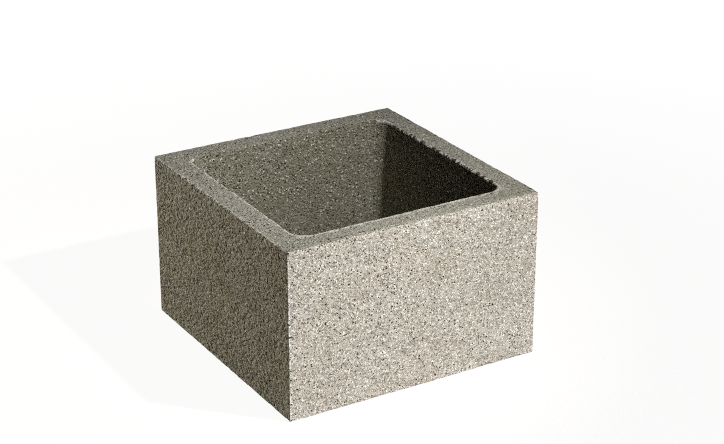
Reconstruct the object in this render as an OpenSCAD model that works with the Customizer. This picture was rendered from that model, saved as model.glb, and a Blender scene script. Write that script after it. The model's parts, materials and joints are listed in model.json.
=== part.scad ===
// Hollow concrete block for building square pillars. One dry-cast piece: four walls round an open
// core that runs right through, so that bars and poured concrete can tie a column of blocks together.
// The block stands on its lower bed face, centred on the Z axis, with the sizes in millimetres.

/* [Block] */
// Outer width, along X
block_w = 400; // [250:5:600]
// Outer depth, along Y
block_d = 400; // [250:5:600]
// Height between the two bed faces
block_h = 250; // [100:5:400]

/* [Core] */
// Wall thickness at the upper bed face
wall_top = 35; // [25:1:60]
// How much thicker the wall is at the lower bed face, from the draft of the mould's core
core_draft = 5; // [1:0.5:12]
// Corner radius of the core at the lower bed face
core_corner_r = 20; // [10:1:40]

/* [Edges] */
// Radius of the arrises round the outside
arris_r = 2.5; // [1:0.5:8]
// Width of the eased edge round both mouths of the core
mouth_ease = 2; // [0.5:0.5:5]

/* [Hidden] */
$fn = 96;

concrete_grey = [0.74, 0.71, 0.66];

// How far a cutting shape runs past the face that it cuts
overrun = 10;

// Half sizes of the core at the lower bed face
core_half_w = block_w / 2 - wall_top - core_draft;
core_half_d = block_d / 2 - wall_top - core_draft;

// How far the core's sides have spread from the lower bed face, at height z
function spread(z) = core_draft * z / block_h;

// Rectangle with rounded corners, centred
module rounded_rectangle(w, d, r) {
    square([w - 2 * r, d], center = true);
    square([w, d - 2 * r], center = true);
    for (x = [-1, 1], y = [-1, 1])
        translate([x * (w / 2 - r), y * (d / 2 - r)])
            circle(r);
}

// Bar of rounded section that gives the block its arrises along one axis
module arris_bar(w, d, length) {
    linear_extrude(length, center = true)
        rounded_rectangle(w, d, arris_r);
}

// Solid block with every outer arris rounded
module outer_form() {
    translate([0, 0, block_h / 2])
        intersection() {
            arris_bar(block_w, block_d, block_h);
            rotate([90, 0, 0])
                arris_bar(block_w, block_h, block_d);
            rotate([0, 90, 0])
                arris_bar(block_h, block_d, block_w);
        }
}

// Wedge-sided prism across the core, from z0 to z1, its sides leaning from half width w0 to w1
module leaning_prism(w0, z0, w1, z1, length) {
    rotate([90, 0, 0])
        linear_extrude(length, center = true)
            polygon([[-w0, z0], [w0, z0], [w1, z1], [-w1, z1]]);
}

// Stretch of the core from z0 to z1, where its sides stand s0 and s1 out from the lower outline.
// The corners are cones on upright axes, so the sides stay tangent to them all the way up.
module core_stretch(z0, s0, z1, s1) {
    corner_x = core_half_w - core_corner_r;
    corner_y = core_half_d - core_corner_r;
    leaning_prism(core_half_w + s0, z0, core_half_w + s1, z1, 2 * corner_y);
    rotate([0, 0, 90])
        leaning_prism(core_half_d + s0, z0, core_half_d + s1, z1, 2 * corner_x);
    for (x = [-1, 1], y = [-1, 1])
        translate([x * corner_x, y * corner_y, z0])
            cylinder(h = z1 - z0, r1 = core_corner_r + s0, r2 = core_corner_r + s1);
}

// The whole core: its drafted shaft, and the eased edge of each mouth at 45 degrees
module core_form() {
    upper_z = block_h - mouth_ease;
    flare = mouth_ease + overrun;
    core_stretch(-overrun, spread(-overrun), block_h + overrun, spread(block_h + overrun));
    core_stretch(upper_z, spread(upper_z), block_h + overrun, spread(upper_z) + flare);
    core_stretch(-overrun, spread(mouth_ease) + flare, mouth_ease, spread(mouth_ease));
}

module pillar_block() {
    color(concrete_grey)
        difference() {
            outer_form();
            core_form();
        }
}

pillar_block();
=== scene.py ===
# %% [markdown]
# # A hollow concrete pillar block
#
# The real object is one piece of dry-cast concrete. A stiff mix of sand and cement is shaken into a steel
# mould, the core is drawn out and the block is stripped at once, so every face shows its sand grains, small
# voids between them, and arrises that crumbled a little as the mould came away.
#
# This lesson takes the measured solid as a fixed frame and gives it that surface. The shape comes first,
# as one closed grid worked out with numpy. Then come the concrete, the light and the camera.
# Lengths are metres, and the block stands on its lower bed face with Z up.

# %% Load the measured block
import json
from types import SimpleNamespace

import bpy
import numpy as np
from mathutils import Euler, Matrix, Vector
from mathutils.bvhtree import BVHTree

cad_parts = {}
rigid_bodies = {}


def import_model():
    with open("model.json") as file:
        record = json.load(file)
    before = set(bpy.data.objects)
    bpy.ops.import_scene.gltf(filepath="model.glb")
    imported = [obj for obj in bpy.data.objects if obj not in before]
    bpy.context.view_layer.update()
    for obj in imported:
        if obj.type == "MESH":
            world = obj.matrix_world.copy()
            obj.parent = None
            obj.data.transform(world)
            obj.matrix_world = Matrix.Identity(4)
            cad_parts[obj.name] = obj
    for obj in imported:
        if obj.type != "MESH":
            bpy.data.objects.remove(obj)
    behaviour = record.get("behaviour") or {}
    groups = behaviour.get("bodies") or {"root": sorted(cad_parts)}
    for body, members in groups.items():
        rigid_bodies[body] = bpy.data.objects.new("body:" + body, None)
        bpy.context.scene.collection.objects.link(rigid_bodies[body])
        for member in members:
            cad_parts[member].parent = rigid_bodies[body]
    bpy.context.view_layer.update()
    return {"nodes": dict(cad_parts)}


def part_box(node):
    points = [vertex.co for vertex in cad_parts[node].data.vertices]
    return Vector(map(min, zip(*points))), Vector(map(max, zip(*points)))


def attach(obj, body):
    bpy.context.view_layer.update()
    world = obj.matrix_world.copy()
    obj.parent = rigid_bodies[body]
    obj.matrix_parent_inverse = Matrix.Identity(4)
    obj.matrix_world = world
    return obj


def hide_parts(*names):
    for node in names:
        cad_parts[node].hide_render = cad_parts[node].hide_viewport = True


for leftover in list(bpy.data.objects):
    bpy.data.objects.remove(leftover)

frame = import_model()
block_low, block_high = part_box("pillar_block")
width, depth, height = block_high - block_low
print(f"block {width:.3f} x {depth:.3f} x {height:.3f} m")

# %% [markdown]
# ## The wall's section
#
# Cut the block through the middle of a side and the wall shows a closed outline: up the outer face, round
# the arris, across the upper bed, over the eased mouth, down the core side and back along the lower bed.
# A box with a bevel modifier would give that outline too, but no control over where the vertices lie.
# Here each stretch of the section is a row of stations, set closer together near the arrises, because the
# crumbling there is the finest shape that the mesh has to hold.
#
# A station says how far its outline lies inside the outer faces, the radius of that outline's corners and
# how high it is. The wall is thicker at the bottom, because the mould's core tapers so that it can be
# drawn. Arrises and mouths start crisper than on the measured solid, since the crumbling softens them. No
# outline's corner is sharper than a least radius, so that the columns round it stay apart.

# %% Sizes of the wall
wall_top = 0.035
core_taper = 0.005
core_corner_low = 0.020
arris_radius = 0.0018
mouth_ease = 0.0008
least_corner = 0.0006
wall_low = wall_top + core_taper
print(f"wall {wall_top * 1000:.0f} mm thick at the top, {wall_low * 1000:.0f} mm at the foot")


# %% Stretches of the section
def even(count):
    """Even steps from 0 up to 1, without the 1."""
    return np.linspace(0, 1, count, endpoint=False)


def graded(count, closeness=0.35):
    """Steps from 0 up to 1, without the 1: an even run mixed with half a cosine, closer at both ends."""
    run = even(count)
    return (1 - closeness) * run + closeness * (1 - np.cos(np.pi * run)) / 2


def stretch(start, end, steps):
    """Stations on a straight line from start to end, each an (inset, corner radius, height)."""
    return np.array(start) + steps[:, None] * (np.array(end) - np.array(start))


def arris_turn(steps, base, way):
    """Stations round a quarter circle of the arris radius, from the outer face (0) to the bed (1)."""
    angle = steps * np.pi / 2
    inset = arris_radius * (1 - np.cos(angle))
    corner = np.maximum(arris_radius * np.cos(angle), least_corner)
    return np.stack([inset, corner, base + way * arris_radius * np.sin(angle)], axis=1)


def core_station(z, ease=0.0):
    """The core's outline at height z: its inset and corner radius both follow the taper."""
    share = z / height
    inset = wall_top + core_taper * (1 - share) - ease
    return inset, core_corner_low + core_taper * share + ease, z


# %% Walk once round the section
MOULD_FACE, BED_FACE, CORE_FACE, OPEN_FACE = range(4)
face_rows, arris_rows, bed_rows, ease_rows, core_rows = 66, 5, 12, 3, 62

outer_low = (0.0, arris_radius, arris_radius)
outer_top = (0.0, arris_radius, height - arris_radius)
bed_edge_top = (arris_radius, least_corner, height)
bed_edge_low = (arris_radius, least_corner, 0.0)
mouth_top = core_station(height, mouth_ease)
mouth_low = core_station(0.0, mouth_ease)
core_top = core_station(height - mouth_ease)
core_low = core_station(mouth_ease)

section_parts = [
    (MOULD_FACE, stretch(outer_low, outer_top, graded(face_rows))),
    (MOULD_FACE, arris_turn(even(arris_rows), height - arris_radius, 1)),
    (BED_FACE, stretch(bed_edge_top, mouth_top, graded(bed_rows))),
    (CORE_FACE, stretch(mouth_top, core_top, even(ease_rows))),
    (CORE_FACE, stretch(core_top, core_low, graded(core_rows))),
    (CORE_FACE, stretch(core_low, mouth_low, even(ease_rows))),
    (BED_FACE, stretch(mouth_low, bed_edge_low, graded(bed_rows))),
    (MOULD_FACE, arris_turn(1 - even(arris_rows), arris_radius, -1)),
]
section = np.concatenate([stations for _, stations in section_parts])
finish_of_row = np.concatenate([np.full(len(stations), finish) for finish, stations in section_parts])
print(f"{len(section)} stations round the section")

# %% [markdown]
# ## Carry the section round the plan
#
# Every station has a plan outline of its own, a rectangle with round corners. All of them follow one
# formula: a corner's centre slides from one corner of the rectangle to the next along each side, stands
# still at the corners, and the outline lies one corner radius away from it in the direction of the turn.
# The grid is then a function of two numbers, the place along the plan and the place round the section. It
# closes on itself both ways, so it has no seam and no open edge, as a cast block has none.

# %% The plan's columns
corner_columns, side_columns = 14, 128
columns_per_side = corner_columns + side_columns
right_angle = np.pi / 2

slide = np.concatenate([np.ones(corner_columns), 1 - 2 * graded(side_columns)])
bearing = np.concatenate([even(corner_columns) * right_angle, np.full(side_columns, right_angle)])
spin = np.arange(4)[:, None] * right_angle
centre_x = (slide * np.cos(spin) - np.sin(spin)).ravel()
centre_y = (slide * np.sin(spin) + np.cos(spin)).ravel()
turn = (spin + bearing).ravel()


def carried(section):
    """The wall's grid: at each station the corner centre, (half side - radius) from the middle, plus one
    radius in the direction of the turn, at the station's height."""
    inset, radius, z = (column[:, None] for column in section.T)
    x = centre_x * (width / 2 - inset - radius) + radius * np.cos(turn)
    y = centre_y * (depth / 2 - inset - radius) + radius * np.sin(turn)
    return np.stack([x, y, np.broadcast_to(z, x.shape)], axis=-1)


wall = carried(section)
rows, columns = wall.shape[:2]
print(f"grid of {rows} x {columns} points, {2 * rows * columns} triangles")

# %% [markdown]
# ## Roughness that belongs to the casting
#
# Dry-cast faces aren't flat. They swell and dip by fractions of a millimetre, sand gives them a grain, and
# here and there a void reaches the surface. A displace modifier could move the vertices by a texture, but
# a field worked out here can differ from one stretch of the section to the next.
#
# The field is lattice noise: random numbers on a cubic lattice, blended smoothly in between. The lattice is
# turned out of line with the faces, because on a flat face in line with it the cells would show as squares.

# %% A smooth random field
lattice_points = 89
lattice_turn = np.array(Euler((0.7, 0.4, 1.1)).to_matrix())


def cloud(points, size, seed):
    """A smooth field from -1 to 1: random numbers on a turned lattice of the given cell size, mixed between
    the eight lattice points round each place with weights that ease in and out."""
    table = np.random.default_rng(seed).uniform(-1, 1, (lattice_points,) * 3)
    place = points @ lattice_turn / size
    cell = np.floor(place).astype(int)
    part = place - cell
    ease = part * part * (3 - 2 * part)
    field = np.zeros(points.shape[:-1])
    for step in np.ndindex(2, 2, 2):
        i, j, k = np.moveaxis((cell + step) % lattice_points, -1, 0)
        weight = np.prod(np.where(step, ease, 1 - ease), axis=-1)
        field += weight * table[i, j, k]
    return field


def clouds(*layers):
    """Several clouds over the wall added up, each layer an (amount, cell size, seed)."""
    return sum(amount * cloud(wall, size, seed) for amount, size, seed in layers)


def ramp(value, start, end):
    """0 up to start, 1 from end on, and a straight line between them."""
    return np.clip((value - start) / (end - start), 0, 1)


# %% Which way each point faces
def outward(points):
    """Unit normals of a closed grid: the cross product of its two central differences."""
    along_plan = np.roll(points, -1, axis=1) - np.roll(points, 1, axis=1)
    along_section = np.roll(points, -1, axis=0) - np.roll(points, 1, axis=0)
    normal = np.cross(along_plan, along_section)
    return normal / np.linalg.norm(normal, axis=-1, keepdims=True)


normal = outward(wall)
middle_row = int(np.argmin(np.abs(section[:face_rows, 2] - height / 2)))
print("outer face looks", np.round(normal[middle_row, corner_columns + side_columns // 2], 2))

# %% [markdown]
# ## Which points lie near an arris
#
# Arrises break first. On the outside, a point's distance to the nearest arris is the second smallest of its
# distances to the planes of the faces, since the smallest is to the face that it lies on. At a mouth of the
# core it is the larger of two: how far the point is from the core side, and how far from the bed. An
# exponential turns a distance into a nearness, 1 at the arris and falling off over a given reach.

# %% Distances to the arrises
crumble_reach = 0.0018
rub_reach = 0.004

x, y, z = np.moveaxis(wall, -1, 0)
from_sides = np.stack([width / 2 - np.abs(x), depth / 2 - np.abs(y), np.minimum(z, height - z)])
outer_arris = np.sort(from_sides, axis=0)[1]
inset_here, _, height_here = (column[:, None] for column in section.T)
core_inset = wall_top + core_taper * (1 - height_here / height)
across_bed = np.abs(core_inset - inset_here)
from_mouth = np.maximum(np.maximum(across_bed, from_sides[2]) - mouth_ease, 0)

near_arris = np.exp(-outer_arris / crumble_reach)
soft_arris = np.exp(-outer_arris / rub_reach)
near_mouth = np.exp(-from_mouth / rub_reach)
print(f"{np.mean(near_arris > 0.5):.1%} of the points lie at an outer arris")
print(f"{np.mean(near_mouth > 0.5):.1%} of the points lie at a mouth of the core")

# %% [markdown]
# ## Move the points
#
# The moves are added up along the normals. Swells are broad and shallow. Grain is as fine as the mesh can
# hold. Voids and crumbled arrises only ever go inwards, because concrete is lost there. The front's upper
# arris crumbled more than the others when this block was stripped.
#
# The beds were struck off, so they are smoother than the faces, and the core side was dragged, so it is
# rougher. The -X side keeps only a part of its relief here: light rakes along that side, and the facets of
# the mesh would show, so the rest is left to the material.
#
# The mould was flat, so nothing stands proud of it: what would is pressed level with the measured faces.

# %% How rough each stretch is
roughness_of_finish = np.array([1.0, 0.6, 1.15])
open_side_part = 0.3
on_minus_x = x < -width / 2 + arris_radius / 4
rough = roughness_of_finish[finish_of_row][:, None] * np.where(on_minus_x, open_side_part, 1.0)
print(f"roughness from {rough.min():.2f} to {rough.max():.2f}")

# %% Swells, grain and voids
swell = clouds((0.00020, 0.075, 1), (0.00012, 0.021, 2))
grain = clouds((0.00016, 0.0042, 3), (0.00014, 0.0076, 4))
void_cell, void_start, void_full = 0.0045, 0.66, 0.86
void_depth = 0.0008
void = ramp(cloud(wall, void_cell, 5), void_start, void_full)
print(f"{np.mean(void > 0):.1%} of the points lie in a void")

# %% Crumbled arrises
crumble_level = 0.05
crumble_depth = 0.0018
mouth_depth = 0.0010
front_wear, front_depth = 0.0010, 0.0020
front_band = 0.012

crumble = np.clip(clouds((0.6, 0.0052, 6), (0.4, 0.015, 7)) - crumble_level, 0, 1)
front_arris = ramp(-y, depth * 0.46, depth * 0.50) * ramp(z, height - front_band, height)
arris_loss = near_arris * crumble_depth * crumble
front_loss = soft_arris * front_arris * (front_wear + front_depth * crumble)
mouth_loss = near_mouth * mouth_depth * crumble

relief = rough * (swell + grain - void_depth * void) - arris_loss - front_loss - mouth_loss
points = wall + normal * relief[..., None]
points = np.clip(points, np.array(block_low), np.array(block_high))
print(f"relief from {relief.min() * 1000:.2f} to {relief.max() * 1000:.2f} mm before pressing level")

# %% [markdown]
# ## Where the edges are worn and torn
#
# Some wear is finer than the mesh, so the mesh only carries where it lies and the material draws it. Arrises
# and mouths lost their paste skin and show bare, pale grains, least at the back of the core; this pale edge
# is partly wear and partly a painted highlight. At the mouth's +X edge the core tore small teeth out of the
# bed as it was drawn, and the material darkens them as painted shade: there the mesh carries the distance
# from the edge, and a large number everywhere else.

# %% Wear for the material
# How pale each edge is drawn, side by side: partly worn paste skin, partly a painted highlight along the
# edges.
left_rub, other_rub, open_side_rub = 1.0, 0.6, 0.3
front_arris_fade = 0.7
back_mouth_rub = 0.25
front_mouth_reach = 0.009
far_from_edge = 1.0
at_left = x < -width * 0.45
at_right = x > width * 0.3
at_front = y < -depth * 0.4
at_back = y > depth * 0.4

rub_and_highlight_outside = np.where(at_left, left_rub, other_rub) * (1 - front_arris_fade * front_arris)
rub_and_highlight_outside = np.where(on_minus_x & (z < height - arris_radius), open_side_rub, rub_and_highlight_outside)
mouth_reach = np.where(at_front, front_mouth_reach, rub_reach)
rub_and_highlight_mouth = np.where(at_back, back_mouth_rub, 1.0) * np.exp(-from_mouth / mouth_reach)
rubbed = np.maximum(soft_arris * rub_and_highlight_outside, rub_and_highlight_mouth)

straight_edge = depth / 2 - wall_top - core_corner_low - core_taper
at_torn_edge = at_right & (np.abs(y) < straight_edge) & (z > height / 2)
from_torn_edge = np.where(at_torn_edge, from_mouth, far_from_edge)
print(f"{np.mean(rubbed > 0.7):.1%} of the points are rubbed")
print(f"{np.sum(from_torn_edge < 0.004)} points lie at the torn edge")

# %% [markdown]
# ## Put the grid into a mesh
#
# Each quad joins four neighbours of the grid, and the last row and column join the first. The mesh also
# carries the edge wear as two attributes, which the material also uses for a painted highlight and painted
# shade along the edges, and the number of its finish on every face. The -X side has a finish of its own, with
# a more open relief, and grains that differ more in tone, more dark hollows and warmer patches, partly as
# painted shade and highlight of the light raking along that side.

# %% Quads and attributes
row_index, column_index = np.meshgrid(np.arange(rows), np.arange(columns), indexing="ij")
next_row = (row_index + 1) % rows
next_column = (column_index + 1) % columns
corners = [(row_index, column_index), (row_index, next_column),
           (next_row, next_column), (next_row, column_index)]
quads = np.stack([r * columns + c for r, c in corners], axis=-1).reshape(-1, 4)

mesh = bpy.data.meshes.new("cast_block")
mesh.from_pydata(points.reshape(-1, 3).tolist(), [], quads.tolist())
mesh.polygons.foreach_set("use_smooth", np.ones(len(quads), dtype=bool))

minus_x_side = 1
side_of_column = np.arange(columns) // columns_per_side
open_quads = (finish_of_row == MOULD_FACE)[:, None] & (side_of_column == minus_x_side)
finish_of_quad = np.where(open_quads, OPEN_FACE, finish_of_row[:, None])
mesh.polygons.foreach_set("material_index", finish_of_quad.astype(np.int32).ravel())

for name, values in (("rubbed", rubbed), ("from_torn_edge", from_torn_edge)):
    attribute = mesh.attributes.new(name, "FLOAT", "POINT")
    attribute.data.foreach_set("value", values.astype(np.float32).ravel())
print(f"{len(mesh.polygons)} quads, {np.sum(open_quads)} of them on the open face")

# %% [markdown]
# ### Unroll the wall
#
# A texture of the block needs a flat map of its surface. Unrolled in one go, the wall would be one long
# strip. Laid out as four sides, two by two, it fills a square texture evenly.

# %% The unrolled map
margin = 0.004
place_on_side = np.arange(columns) % columns_per_side


def unrolled(row_step, column_step):
    """Map places of one corner of every quad: the side picks a quarter of the square, the column runs
    across that quarter and the row up it."""
    across = (place_on_side + column_step) / columns_per_side
    up = (np.arange(rows) + row_step) / rows
    u = (side_of_column % 2 + margin + (1 - 2 * margin) * across) / 2
    v = (side_of_column // 2 + margin + (1 - 2 * margin) * up[:, None]) / 2
    return np.stack([np.broadcast_to(u, v.shape), v], axis=-1)


map_corners = [unrolled(0, 0), unrolled(0, 1), unrolled(1, 1), unrolled(1, 0)]
unrolled_map = mesh.uv_layers.new(name="OFBake")
unrolled_map.data.foreach_set("uv", np.stack(map_corners, axis=2).astype(np.float32).ravel())
mesh.validate()
mesh.update()
print(f"map of {len(unrolled_map.data)} corners")

# %% [markdown]
# ## Fix the block to the frame
#
# The new surface stands for the measured solid, so the solid is hidden and the surface rides on its body.
# A search tree of the solid then tells how far the two lie apart: a fraction of a millimetre on the faces,
# and most where an arris is crisper or more crumbled than the solid's.

# %% Ride on the frame and measure the gap
block = bpy.data.objects.new("cast_block", mesh)
bpy.context.scene.collection.objects.link(block)
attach(block, "root")
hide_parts("pillar_block")

sample_step = 37
solid = frame["nodes"]["pillar_block"].data
solid_tree = BVHTree.FromPolygons([v.co for v in solid.vertices], [p.vertices for p in solid.polygons])
sample = points.reshape(-1, 3)[::sample_step]
gaps = [solid_tree.find_nearest(Vector(place))[3] for place in sample]
print(f"gap to the measured solid: mean {np.mean(gaps) * 1000:.2f} mm, most {np.max(gaps) * 1000:.2f} mm")

# %% [markdown]
# ## Node groups for dry-cast concrete
#
# Four finishes share the same ingredients in different amounts: the faces shaped by the mould, the open
# face among them, the beds struck off level, and the core side that was dragged as the core came out. Each
# ingredient is one node group, so that a finish is a short list of amounts. A few small helpers make groups
# and nodes, and spare the lesson a page of links.

# %% Helpers for node trees
NUMBER, VECTOR = "NodeSocketFloat", "NodeSocketVector"


def new_group(name, inputs, outputs):
    """A shader node group with the given sockets, and its two end nodes."""
    group = bpy.data.node_groups.new(name, "ShaderNodeTree")
    for socket, kind in inputs.items():
        group.interface.new_socket(socket, in_out="INPUT", socket_type=kind)
    for socket, kind in outputs.items():
        group.interface.new_socket(socket, in_out="OUTPUT", socket_type=kind)
    return group, group.nodes.new("NodeGroupInput"), group.nodes.new("NodeGroupOutput")


def socket_of(node, key):
    """A node's input: i0, i1 and so on by number, any other key by name, with _ for a space."""
    if key[0] == "i" and key[1:].isdigit():
        return node.inputs[int(key[1:])]
    return node.inputs[key.replace("_", " ")]


def add(tree, kind, settings=None, **links):
    """Adds a node, sets its properties, and fills its inputs with values or with other sockets."""
    node = tree.nodes.new(kind)
    for key, value in (settings or {}).items():
        setattr(node, key, value)
    for key, value in links.items():
        socket = socket_of(node, key)
        if isinstance(value, bpy.types.NodeSocket):
            tree.links.new(value, socket)
        else:
            socket.default_value = value
    return node


# %% Helpers for numbers and colours
def maths(tree, operation, first, second=0.0, third=0.0):
    """A Math node's result."""
    return add(tree, "ShaderNodeMath", {"operation": operation}, i0=first, i1=second, i2=third).outputs[0]


def vector_maths(tree, operation, first, **others):
    """A Vector Math node."""
    return add(tree, "ShaderNodeVectorMath", {"operation": operation}, i0=first, **others)


def largest(tree, first, *others):
    """The largest of several values."""
    for other in others:
        first = maths(tree, "MAXIMUM", first, other)
    return first


def eased(tree, value, low, high):
    """0 below low, 1 above high, and a smooth step between. low may be the larger, which turns it round."""
    node = add(tree, "ShaderNodeMapRange", {"interpolation_type": "SMOOTHSTEP"}, Value=value,
               From_Min=low, From_Max=high)
    return node.outputs["Result"]


def blended(tree, factor, first, second, kind="MIX"):
    """Two colours mixed by a factor."""
    settings = {"data_type": "RGBA", "blend_type": kind}
    return add(tree, "ShaderNodeMix", settings, i0=factor, i6=first, i7=second).outputs[2]


# %% Helpers for patterns
def noise(tree, place, scale, detail, roughness=0.5):
    """Smooth noise in space, from about 0 to 1. Its Color output holds three noises."""
    return add(tree, "ShaderNodeTexNoise", {"noise_dimensions": "3D"}, Vector=place, Scale=scale,
               Detail=detail, Roughness=roughness).outputs


def cells(tree, place, scale):
    """Voronoi cells in space: the distance to the nearest cell's middle, and that cell's random colour."""
    settings = {"voronoi_dimensions": "3D", "feature": "F1"}
    pattern = add(tree, "ShaderNodeTexVoronoi", settings, Vector=place, Scale=scale).outputs
    draws = add(tree, "ShaderNodeSeparateColor", None, Color=pattern["Color"]).outputs
    return pattern["Distance"], draws["Red"], draws["Green"]


def mapped(tree, place, shift=(0, 0, 0), scale=(1, 1, 1)):
    """A place that is scaled and then shifted, so that a pattern is drawn out or moved."""
    return add(tree, "ShaderNodeMapping", {"vector_type": "POINT"}, Vector=place, Location=shift,
               Scale=scale).outputs[0]


# %% [markdown]
# ### Sand grains
#
# The mix is mostly sand of about one to two millimetres, bound by a thin paste. Every grain has a tone of its
# own, from brown and grey to nearly white quartz, stands out as a small dome and has a gap beside it, which
# the finish darkens as painted shade.
# Voronoi cells give all three at once: a random colour per cell for the tone, and the distance from the
# cell's middle for the dome and the gap. A little noise bends the cells first, because plain ones look like
# tiles.

# %% The sand grain group
bend_part = 0.55
gap_start, gap_full = 0.5, 0.85

grains, grain_in, grain_out = new_group(
    "sand grains",
    {"Vector": VECTOR, "Grain Size": NUMBER},
    {"Tone": NUMBER, "Pick": NUMBER, "Dome": NUMBER, "Gap": NUMBER},
)
grain_place, grain_width = grain_in.outputs["Vector"], grain_in.outputs["Grain Size"]
per_metre = maths(grains, "DIVIDE", 1.0, grain_width)
bend = noise(grains, grain_place, per_metre, detail=1.0)["Color"]
bend = vector_maths(grains, "SUBTRACT", bend, i1=(0.5, 0.5, 0.5)).outputs[0]
bend_size = maths(grains, "MULTIPLY", grain_width, bend_part)
bend = vector_maths(grains, "SCALE", bend, Scale=bend_size).outputs[0]
bent = vector_maths(grains, "ADD", grain_place, i1=bend).outputs[0]
from_middle, grain_tone, grain_pick = cells(grains, bent, per_metre)
grains.links.new(grain_tone, grain_out.inputs["Tone"])
grains.links.new(grain_pick, grain_out.inputs["Pick"])
grains.links.new(maths(grains, "SUBTRACT", 1.0, from_middle), grain_out.inputs["Dome"])
# The gap's mask: the finish darkens it as painted shade between the grains.
grains.links.new(eased(grains, from_middle, gap_start, gap_full), grain_out.inputs["Gap"])
print("sand grains:", len(grains.nodes), "nodes")

# %% [markdown]
# ### Sparse spots
#
# Where the stiff mix didn't close up, a pinhole or a larger void is left, and here and there a pale pebble
# lies in the face. All three are sparse, round and of all sizes, so each cell of a Voronoi pattern draws a
# size from its random colour. Only the given share of the cells draws one large enough to show clearly.

# %% The sparse spot group
least_radius, radius_growth = 0.02, 0.32
edge_outside, edge_inside = -0.02, 0.10

spots, spot_in, spot_out = new_group(
    "sparse spots",
    {"Vector": VECTOR, "Spacing": NUMBER, "Share": NUMBER},
    {"Mask": NUMBER},
)
spot_scale = maths(spots, "DIVIDE", 1.0, spot_in.outputs["Spacing"])
from_spot, spot_draw, _ = cells(spots, spot_in.outputs["Vector"], spot_scale)
least_draw = maths(spots, "SUBTRACT", 1.0, spot_in.outputs["Share"])
spot_size = eased(spots, spot_draw, least_draw, 1.0)
spot_radius = maths(spots, "MULTIPLY_ADD", spot_size, radius_growth, least_radius)
inside_spot = maths(spots, "SUBTRACT", spot_radius, from_spot)
spots.links.new(eased(spots, inside_spot, edge_outside, edge_inside), spot_out.inputs["Mask"])
print("sparse spots:", len(spots.nodes), "nodes")

# %% [markdown]
# ### Open texture
#
# The mould presses the face flat, but a stiff mix doesn't fill it, so lumps alternate with shallow open
# spots a few millimetres wide. One noise gives both: its own height for the lumps, and a cut at one level
# for the open spots. Lumps are the largest relief that is left to bump, and it is they that raking light
# picks out.

# %% The open texture group
pit_start, pit_full = 0.48, 0.33

open_texture, open_in, open_out = new_group(
    "open texture",
    {"Vector": VECTOR, "Size": NUMBER},
    {"Pit": NUMBER, "Lump": NUMBER},
)
open_scale = maths(open_texture, "DIVIDE", 1.0, open_in.outputs["Size"])
lump = noise(open_texture, open_in.outputs["Vector"], open_scale, detail=2.0)["Fac"]
open_texture.links.new(eased(open_texture, lump, pit_start, pit_full), open_out.inputs["Pit"])
open_texture.links.new(lump, open_out.inputs["Lump"])
print("open texture:", len(open_texture.nodes), "nodes")

# %% [markdown]
# ### Patchy tint
#
# Moisture and cement are never spread evenly, so a face drifts between warmer, browner patches and cooler,
# paler ones a few centimetres across. The pale ones are wider than they are high, as faint level bands from
# the layers that were shaken down.

# %% The patchy tint group
warm_start, warm_full = 0.36, 0.66
pale_start, pale_full = 0.34, 0.68

patches, patch_in, patch_out = new_group(
    "patchy tint",
    {"Vector": VECTOR, "Patch Size": NUMBER},
    {"Warm": NUMBER, "Pale": NUMBER},
)
patch_scale = maths(patches, "DIVIDE", 1.0, patch_in.outputs["Patch Size"])
warm_noise = noise(patches, patch_in.outputs["Vector"], patch_scale, detail=1.0)["Fac"]
banded = mapped(patches, patch_in.outputs["Vector"], shift=(3.1, 1.7, 0.4), scale=(0.35, 0.35, 1.6))
pale_noise = noise(patches, banded, patch_scale, detail=1.5)["Fac"]
patches.links.new(eased(patches, warm_noise, warm_start, warm_full), patch_out.inputs["Warm"])
patches.links.new(eased(patches, pale_noise, pale_start, pale_full), patch_out.inputs["Pale"])
print("patchy tint:", len(patches.nodes), "nodes")

# %% [markdown]
# ### Worn edges
#
# Along the edges the paste skin has worn off and paler grains lie bare; this pale edge is partly wear and
# partly a painted highlight. The mesh says how near an edge a point is, so the group only has to break that
# up
# with noise: a straight pale line would look painted on.
#
# The torn edge is the opposite, small notches with a depth that changes along the edge, which the finish
# darkens as painted shade. The noise for that depth runs along Y alone, so each notch is cut straight into
# the bed.

# %% The worn edge group
bare_per_metre, bare_noise_part = 150.0, 1.1
bare_start, bare_full = 1.05, 1.3
notches_per_metre = 95.0
notch_start, notch_full = 0.46, 0.60
notch_most, notch_blur = 0.0036, 0.0006

worn_edges, worn_in, worn_out = new_group(
    "worn edges",
    {"Vector": VECTOR, "Rubbed": NUMBER, "From Torn Edge": NUMBER},
    {"Lightened": NUMBER, "Notch": NUMBER},
)
bare_noise = noise(worn_edges, worn_in.outputs["Vector"], bare_per_metre, detail=3.0, roughness=0.6)["Fac"]
bareness = maths(worn_edges, "MULTIPLY_ADD", bare_noise, bare_noise_part, worn_in.outputs["Rubbed"])
worn_edges.links.new(eased(worn_edges, bareness, bare_start, bare_full), worn_out.inputs["Lightened"])

along_edge = add(worn_edges, "ShaderNodeSeparateXYZ", None, Vector=worn_in.outputs["Vector"]).outputs["Y"]
notch_noise = add(worn_edges, "ShaderNodeTexNoise", {"noise_dimensions": "1D"}, W=along_edge,
                  Scale=notches_per_metre, Detail=1.5, Roughness=0.6).outputs["Fac"]
notch_share = eased(worn_edges, notch_noise, notch_start, notch_full)
notch_depth = maths(worn_edges, "MULTIPLY", notch_share, notch_most)
inside_notch = maths(worn_edges, "SUBTRACT", notch_depth, worn_in.outputs["From Torn Edge"])
# Notch: lowered in the bump, and darkened by the finish as painted shade in the torn teeth.
worn_edges.links.new(eased(worn_edges, inside_notch, 0.0, notch_blur), worn_out.inputs["Notch"])
print("worn edges:", len(worn_edges.nodes), "nodes")
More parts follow.
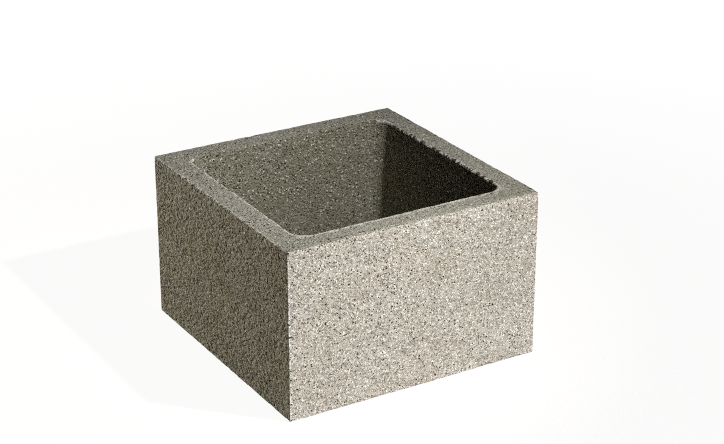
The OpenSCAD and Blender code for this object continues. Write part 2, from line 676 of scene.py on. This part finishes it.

# %% [markdown]
# ## What a finish is mixed from
#
# A finish places the groups at its own sizes and shares. The mix stayed looser towards -X when this block
# was filled, so the shares of pinholes and voids grow from +X to -X. The mix was also shaken down in level
# layers. On the open side this shows, so its pattern is drawn out along Y.
#
# Two chips on the near upright arris are too fine for the mesh, so they join the hollows as small ellipsoids,
# lowered in the bump and darkened as painted shade.

# %% The plain mix
plain_mix = dict(
    grain_size=0.0016,     # width of a coarse grain
    pattern=(1, 1, 1),     # scale along X, Y and Z: a half draws grains out to twice their length
    tone_spread=0.35,      # how far the tones of the grains differ
    quartz=0.10,           # share of the grains that are white
    pebble_share=0.35,     # share of the pebble cells that hold a pale pebble
    pebble_size=2.5,       # width of a pebble cell, in coarse grains
    pebble_height=0.0005,  # how far a pebble stands out
    hole_share=0.44,       # share of the hole cells that hold a pinhole
    hole_size=2.0,         # width of a hole cell, in coarse grains
    void_share=0.40,       # share of the void cells that hold a void
    void_size=2.5,         # width of a void cell, in coarse grains
    grain_height=0.0007,   # how far a coarse grain stands out
    open_depth=0.0010,     # how deep hollows and open spots are
    lump_height=0.0008,    # how far the lumps stand out
    warmth=0.11,           # strength of the warm patches
)
print("a mix has", len(plain_mix), "amounts")


# %% Groups, carried values and chips
chip_outside, chip_inside = 1.1, 0.7


def use(tree, group, **values):
    """Places a node group, fills its inputs and gives its outputs."""
    return add(tree, "ShaderNodeGroup", {"node_tree": group}, **values).outputs


def carried_value(tree, name):
    """A value that the mesh carries."""
    return add(tree, "ShaderNodeAttribute", {"attribute_name": name}).outputs["Fac"]


def chip_mask(tree, place, middle, half_size):
    """1 inside a small ellipsoid and 0 outside, for a chip that is finer than the mesh."""
    offset = vector_maths(tree, "SUBTRACT", place, i1=middle).outputs[0]
    shares = vector_maths(tree, "DIVIDE", offset, i1=half_size).outputs[0]
    reach = vector_maths(tree, "LENGTH", shares).outputs["Value"]
    return eased(tree, reach, chip_outside, chip_inside)


# %% Place the ingredients
fine_grain = 0.5
full_quartz = 0.5
open_size = 2.0
patch_size = 0.055
tight_share, loose_gain = 0.6, 0.7
void_shift = (0.31, 0.17, 0.23)


def ingredients(tree, mix, chips):
    """The masks and values of a finish: its groups at the mix's sizes and shares, with everything pale and
    everything hollow gathered by the largest of its masks."""
    place = add(tree, "ShaderNodeTexCoord").outputs["Object"]
    drawn = mapped(tree, place, scale=mix.pattern)
    apart = mapped(tree, drawn, shift=void_shift)
    across = add(tree, "ShaderNodeSeparateXYZ", None, Vector=place).outputs["X"]
    looseness = eased(tree, across, width / 2, -width / 2)

    def spot_mask(where, size, share):
        """The mask of sparse spots in cells of the given size, counted in coarse grains."""
        return use(tree, spots, Vector=where, Spacing=mix.grain_size * size, Share=share)["Mask"]

    def loosened(share):
        """A share that grows towards -X."""
        return maths(tree, "MULTIPLY_ADD", looseness, share * loose_gain, share * tight_share)

    coarse = use(tree, grains, Vector=drawn, Grain_Size=mix.grain_size)
    fine = use(tree, grains, Vector=drawn, Grain_Size=mix.grain_size * fine_grain)
    holes = spot_mask(drawn, mix.hole_size, loosened(mix.hole_share))
    voids = spot_mask(apart, mix.void_size, loosened(mix.void_share))
    pebbles = spot_mask(drawn, mix.pebble_size, mix.pebble_share)
    edge = use(tree, worn_edges, Vector=place, Rubbed=carried_value(tree, "rubbed"),
               From_Torn_Edge=carried_value(tree, "from_torn_edge"))
    quartz = eased(tree, coarse["Pick"], 1.0 - mix.quartz, 1.0 - mix.quartz * full_quartz)
    chipped = [chip_mask(tree, place, middle, half_size) for middle, half_size in chips]
    return SimpleNamespace(
        coarse=coarse,
        fine=fine,
        pebbles=pebbles,
        open_spots=use(tree, open_texture, Vector=drawn, Size=mix.grain_size * open_size),
        patch=use(tree, patches, Vector=place, Patch_Size=patch_size),
        pale=largest(tree, quartz, pebbles, edge["Lightened"]),
        # Hollows (pinholes, voids, torn notches, chips) are lowered in the bump and darkened as painted
        # shade.
        hollow=largest(tree, holes, voids, edge["Notch"], *chipped),
    )


# %% [markdown]
# ## Four finishes of one concrete
#
# A finish starts from the colour of its paste. Grains are mixed in by their tone, some of them browner, and
# quartz, pebbles and bare edges are nearly white, the edges partly as a painted highlight. Gaps, open spots
# and hollows are darkened as painted shade in them, and patches shift the whole. The same masks that colour
# the grains raise them in the bump, so that light and colour agree. The surface is dull: concrete scatters
# light almost evenly, so roughness stays near one, and only the pale grains have a slight polish.

# %% Colour of a finish
coarse_tone, fine_tone, tone_drop = 1.2, 0.5, 0.85
brown_of_paste = (0.62, 0.53, 0.42)
brown_start, brown_full, brown_strength = 0.16, 0.06, 0.7
quartz_white = (0.95, 0.92, 0.85, 1)
# The dark brown of gaps, open spots and hollows is painted shade.
painted_shade_brown = (0.050, 0.036, 0.016, 1)
gap_strength, open_strength, dark_strength = 0.4, 0.3, 0.95
warm_tint = (0.80, 0.62, 0.42, 1)
pale_tint = (1, 1, 1, 1)
pale_strength = 0.10


def painted(tree, paste, mix, parts):
    """The colour, laid on in turn: paste times tone, brown grains, pale grains, painted shade in gaps, open
    spots and hollows, then the warm and the pale patches."""
    spread = mix.tone_spread
    tone = maths(tree, "MULTIPLY_ADD", parts.coarse["Tone"], spread * coarse_tone, 1.0 - spread * tone_drop)
    tone = maths(tree, "MULTIPLY_ADD", parts.fine["Tone"], spread * fine_tone, tone)
    colour = blended(tree, 1.0, paste + (1,), tone, "MULTIPLY")

    brown = tuple(level * share for level, share in zip(paste, brown_of_paste)) + (1,)
    brown_grain = eased(tree, parts.coarse["Pick"], brown_start, brown_full)
    colour = blended(tree, maths(tree, "MULTIPLY", brown_grain, brown_strength), colour, brown)
    colour = blended(tree, parts.pale, colour, quartz_white)

    # Gaps, open spots and hollows are darkened towards a dark brown: painted shade in these recesses.
    gap = maths(tree, "MULTIPLY", parts.coarse["Gap"], gap_strength)
    open_spot = maths(tree, "MULTIPLY", parts.open_spots["Pit"], open_strength)
    dark = largest(tree, gap, open_spot, parts.hollow)
    colour = blended(tree, maths(tree, "MULTIPLY", dark, dark_strength), colour, painted_shade_brown)

    warm = maths(tree, "MULTIPLY", parts.patch["Warm"], mix.warmth)
    colour = blended(tree, warm, colour, warm_tint, "MULTIPLY")
    pale = maths(tree, "MULTIPLY", parts.patch["Pale"], pale_strength)
    return blended(tree, pale, colour, pale_tint, "SOFT_LIGHT")


# %% Relief of a finish
fine_height = 0.4


def raised(tree, mix, parts):
    """The height of the bump in metres: grains, pebbles and lumps up, hollows and open spots down."""
    layers = [
        (parts.fine["Dome"], mix.grain_height * fine_height),
        (parts.pebbles, mix.pebble_height),
        (parts.hollow, -mix.open_depth),
        (parts.open_spots["Pit"], -mix.open_depth),
        (parts.open_spots["Lump"], mix.lump_height),
    ]
    relief = maths(tree, "MULTIPLY", parts.coarse["Dome"], mix.grain_height)
    for mask, layer_height in layers:
        relief = maths(tree, "MULTIPLY_ADD", mask, layer_height, relief)
    return relief


# %% Put a finish together
dull_roughness, polish = 0.95, 0.35
specular_level = 0.05


def concrete(name, paste, chips=(), **amounts):
    """A concrete finish: a paste colour, and the amounts in which its mix differs from the plain one."""
    material = bpy.data.materials.new(name)
    material.use_nodes = True
    tree = material.node_tree
    shader = tree.nodes["Principled BSDF"]
    mix = SimpleNamespace(**(plain_mix | amounts))
    parts = ingredients(tree, mix, chips)
    tree.links.new(painted(tree, paste, mix, parts), shader.inputs["Base Color"])
    bump = add(tree, "ShaderNodeBump", None, Height=raised(tree, mix, parts), Strength=1.0, Distance=1.0)
    tree.links.new(bump.outputs["Normal"], shader.inputs["Normal"])
    roughness = maths(tree, "MULTIPLY_ADD", parts.pale, -polish, dull_roughness)
    tree.links.new(roughness, shader.inputs["Roughness"])
    shader.inputs["Specular IOR Level"].default_value = specular_level
    return material


# %% Give each stretch of the wall its finish
chip_inset = 0.001
# Two chips on the near upright arris, lowered in the bump and darkened as painted shade inside them.
chip_shapes = [
    (height * 0.508, (0.0050, 0.0055, 0.0013)),
    (height * 0.583, (0.0030, 0.0035, 0.0013)),
]
near_arris_chips = [
    ((-width / 2 + chip_inset, -depth / 2 + chip_inset, chip_height), half_size)
    for chip_height, half_size in chip_shapes
]
finishes = [
    concrete("mould face concrete", (0.59, 0.553, 0.491), near_arris_chips, grain_size=0.0018,
             tone_spread=0.29, quartz=0.09, pebble_share=0.36, hole_share=0.42, void_share=0.38),
    concrete("bed face concrete", (0.54, 0.520, 0.458), tone_spread=0.25, quartz=0.06,
             pebble_share=0.85, pebble_size=3.8, hole_share=0.48, void_share=0.64, void_size=3.6,
             grain_height=0.0006, open_depth=0.0008),
    # The core's paste is darker than the others: painted shade of the core's inside.
    concrete("core face concrete", (0.38, 0.366, 0.291), tone_spread=0.29, quartz=0.05,
             pebble_share=0.95, pebble_size=4.0, pebble_height=0.0012, hole_share=0.54,
             void_share=0.64, void_size=3.2),
    # The -X finish: a wider tone spread, more dark hollows and stronger warm patches than the mould face,
    # partly painted shade and highlight of the light that rakes along that side.
    concrete("open face concrete with painted raking light", (0.60, 0.565, 0.488), pattern=(1, 0.5, 1), tone_spread=0.38,
             pebble_share=0.72, pebble_size=2.8, pebble_height=0.0028, hole_share=0.56,
             void_share=0.58, void_size=2.8, grain_height=0.0008, open_depth=0.0020,
             lump_height=0.0024, warmth=0.20),
]
for finish in finishes:
    mesh.materials.append(finish)
    print(finish.name, "has", len(finish.node_tree.nodes), "nodes")

# %% [markdown]
# ## Floor and background
#
# The block stands on a plain white floor. A floor bright enough to look white would throw its light back
# onto the block, so its material asks which ray is looking. To the camera and to mirror rays it glows white
# and still takes a faint shadow. To the rays that carry light from surface to surface it is a dull, slightly
# warm sheet. Its glow is full far off, and a little less near the block, where the lamps add to it. The
# world works the same way: white to the camera, and almost dark to the block.

# %% The floor
floor_reach = 30.0
floor_drop = 0.0002
sheet_colour = (0.20, 0.18, 0.15, 1)
near_glow, far_glow = 0.94, 1.0
near_distance, far_distance = 0.5, 1.6


def seen_ray(tree):
    """1 for rays that show the surface itself, to the camera, in a reflection or through glass."""
    path = add(tree, "ShaderNodeLightPath").outputs
    return largest(tree, path["Is Camera Ray"], path["Is Glossy Ray"], path["Is Transmission Ray"])


floor_mesh = bpy.data.meshes.new("studio_floor")
floor_corners = [(-floor_reach, -floor_reach, 0), (floor_reach, -floor_reach, 0),
                 (floor_reach, floor_reach, 0), (-floor_reach, floor_reach, 0)]
floor_mesh.from_pydata(floor_corners, [], [(0, 1, 2, 3)])
floor = bpy.data.objects.new("studio_floor", floor_mesh)
floor.location.z = -floor_drop
bpy.context.scene.collection.objects.link(floor)

sheet = bpy.data.materials.new("white studio sheet")
sheet.use_nodes = True
sheet_tree = sheet.node_tree
sheet_tree.nodes.clear()
dull_sheet = add(sheet_tree, "ShaderNodeBsdfDiffuse", None, Color=sheet_colour).outputs[0]
floor_place = add(sheet_tree, "ShaderNodeTexCoord").outputs["Object"]
from_block = vector_maths(sheet_tree, "LENGTH", floor_place).outputs["Value"]
far_off = eased(sheet_tree, from_block, near_distance, far_distance)
glow_level = maths(sheet_tree, "MULTIPLY_ADD", far_off, far_glow - near_glow, near_glow)
glow = add(sheet_tree, "ShaderNodeEmission", None, Color=(1, 1, 1, 1), Strength=glow_level).outputs[0]
glowing_sheet = add(sheet_tree, "ShaderNodeAddShader", None, i0=dull_sheet, i1=glow).outputs[0]
by_ray = add(sheet_tree, "ShaderNodeMixShader", None, i0=seen_ray(sheet_tree), i1=dull_sheet,
             i2=glowing_sheet).outputs[0]
add(sheet_tree, "ShaderNodeOutputMaterial", None, Surface=by_ray)
floor_mesh.materials.append(sheet)
print(f"floor {2 * floor_reach:.0f} m wide, {floor_drop * 1000:.1f} mm under the block")

# %% The world
ambient = 0.003
world = bpy.data.worlds.new("studio")
bpy.context.scene.world = world
world.use_nodes = True
sky = world.node_tree.nodes["Background"]
sky.inputs["Color"].default_value = (1, 1, 1, 1)
sky_strength = maths(world.node_tree, "MULTIPLY_ADD", seen_ray(world.node_tree), 1.0 - ambient, ambient)
world.node_tree.links.new(sky_strength, sky.inputs["Strength"])
print(f"the world lights the block at {ambient:.1%} of white")

# %% [markdown]
# ## Lamps
#
# The front face is the brightest, the upper bed about half as bright, the inner back wall darker again and
# the inner side wall nearly black. So the light comes from the front. One broad lamp stays close to the
# floor, where it can't look over the rim into the core. One small lamp high up reaches the bed and the inner
# back wall. It stands past the plane of the core's +X side, so that no direct light falls on that side. A
# third lamp stays low behind the block. It lights the back and rakes along the -X face, where it brings out
# the relief.
#
# A lamp's power follows from how bright a white card should look at the lamp's aim, if it faced the lamp. A
# lamp with a narrow spread is brightest along its aim, so moving the aim shifts the light up or down a face.

# %% Three soft lamps
def soft_lamp(name, place, aim, size, card_level, spread=np.pi, colour=(1, 1, 1)):
    """A rectangular lamp with the power that shows a white card at its aim at the given level: pi squared
    times the level times the distance squared. A narrower spread gathers the light, so that power is divided
    by tan(a) / (tan(a) - a), with a half the spread."""
    data = bpy.data.lights.new(name, "AREA")
    data.shape = "RECTANGLE"
    data.size, data.size_y = size
    away = Vector(place) - Vector(aim)
    gathered = 1 - spread / 2 / np.tan(spread / 2)
    data.energy = card_level * np.pi ** 2 * away.length_squared * gathered
    data.spread = spread
    data.color = colour
    lamp = bpy.data.objects.new(name, data)
    lamp.location = place
    lamp.rotation_euler = away.to_track_quat("Z", "Y").to_euler()
    lamp.visible_camera = False
    bpy.context.scene.collection.objects.link(lamp)
    print(f"{name}: {data.energy:.1f} W at {away.length:.2f} m")


soft_lamp("low_front_lamp", place=(0.75, -2.25, 0.12), aim=(0.05, -0.20, -0.15), size=(2.4, 0.20),
          card_level=2.56, spread=np.radians(56))
soft_lamp("high_front_lamp", place=(0.20, -0.62, 0.95), aim=(-0.17, 0.15, 0.25), size=(0.03, 0.03),
          card_level=0.90, spread=np.radians(80), colour=(0.98, 0.98, 0.93))
soft_lamp("low_back_lamp", place=(-1.55, 5.00, 0.13), aim=(0, 0, height / 2), size=(1.6, 0.22),
          card_level=0.98, colour=(1.0, 0.97, 0.79))

# %% [markdown]
# ## Camera
#
# The camera looks down on the block's near upright arris from the left of the front. A long lens keeps the
# perspective gentle. Its place and angles were fitted to the corners of the block. A level camera with a
# shifted lens would keep upright edges parallel, but the shift stays when the camera goes round the block,
# so this camera tilts instead.
#
# Sand of one or two pixels looks like noise to a denoiser, which would smooth it away, so denoising is off.
# A pixel filter a little narrower than usual keeps the grain crisp too.

# %% Camera and view
image_width_px = 724
focal_px = 1903
grain_filter_px = 1.1

camera_data = bpy.data.cameras.new("camera")
camera_data.sensor_width = 36.0
camera_data.lens = focal_px / image_width_px * camera_data.sensor_width
camera = bpy.data.objects.new("camera", camera_data)
camera.location = (-1.2701, -2.1661, 1.2652)
camera.rotation_euler = (np.radians(66.522), 0, np.radians(-31.031))
scene = bpy.context.scene
scene.collection.objects.link(camera)
scene.camera = camera
scene.view_settings.view_transform = "Standard"
scene.cycles.use_denoising = False
scene.cycles.filter_width = grain_filter_px
print(f"lens {camera_data.lens:.1f} mm")
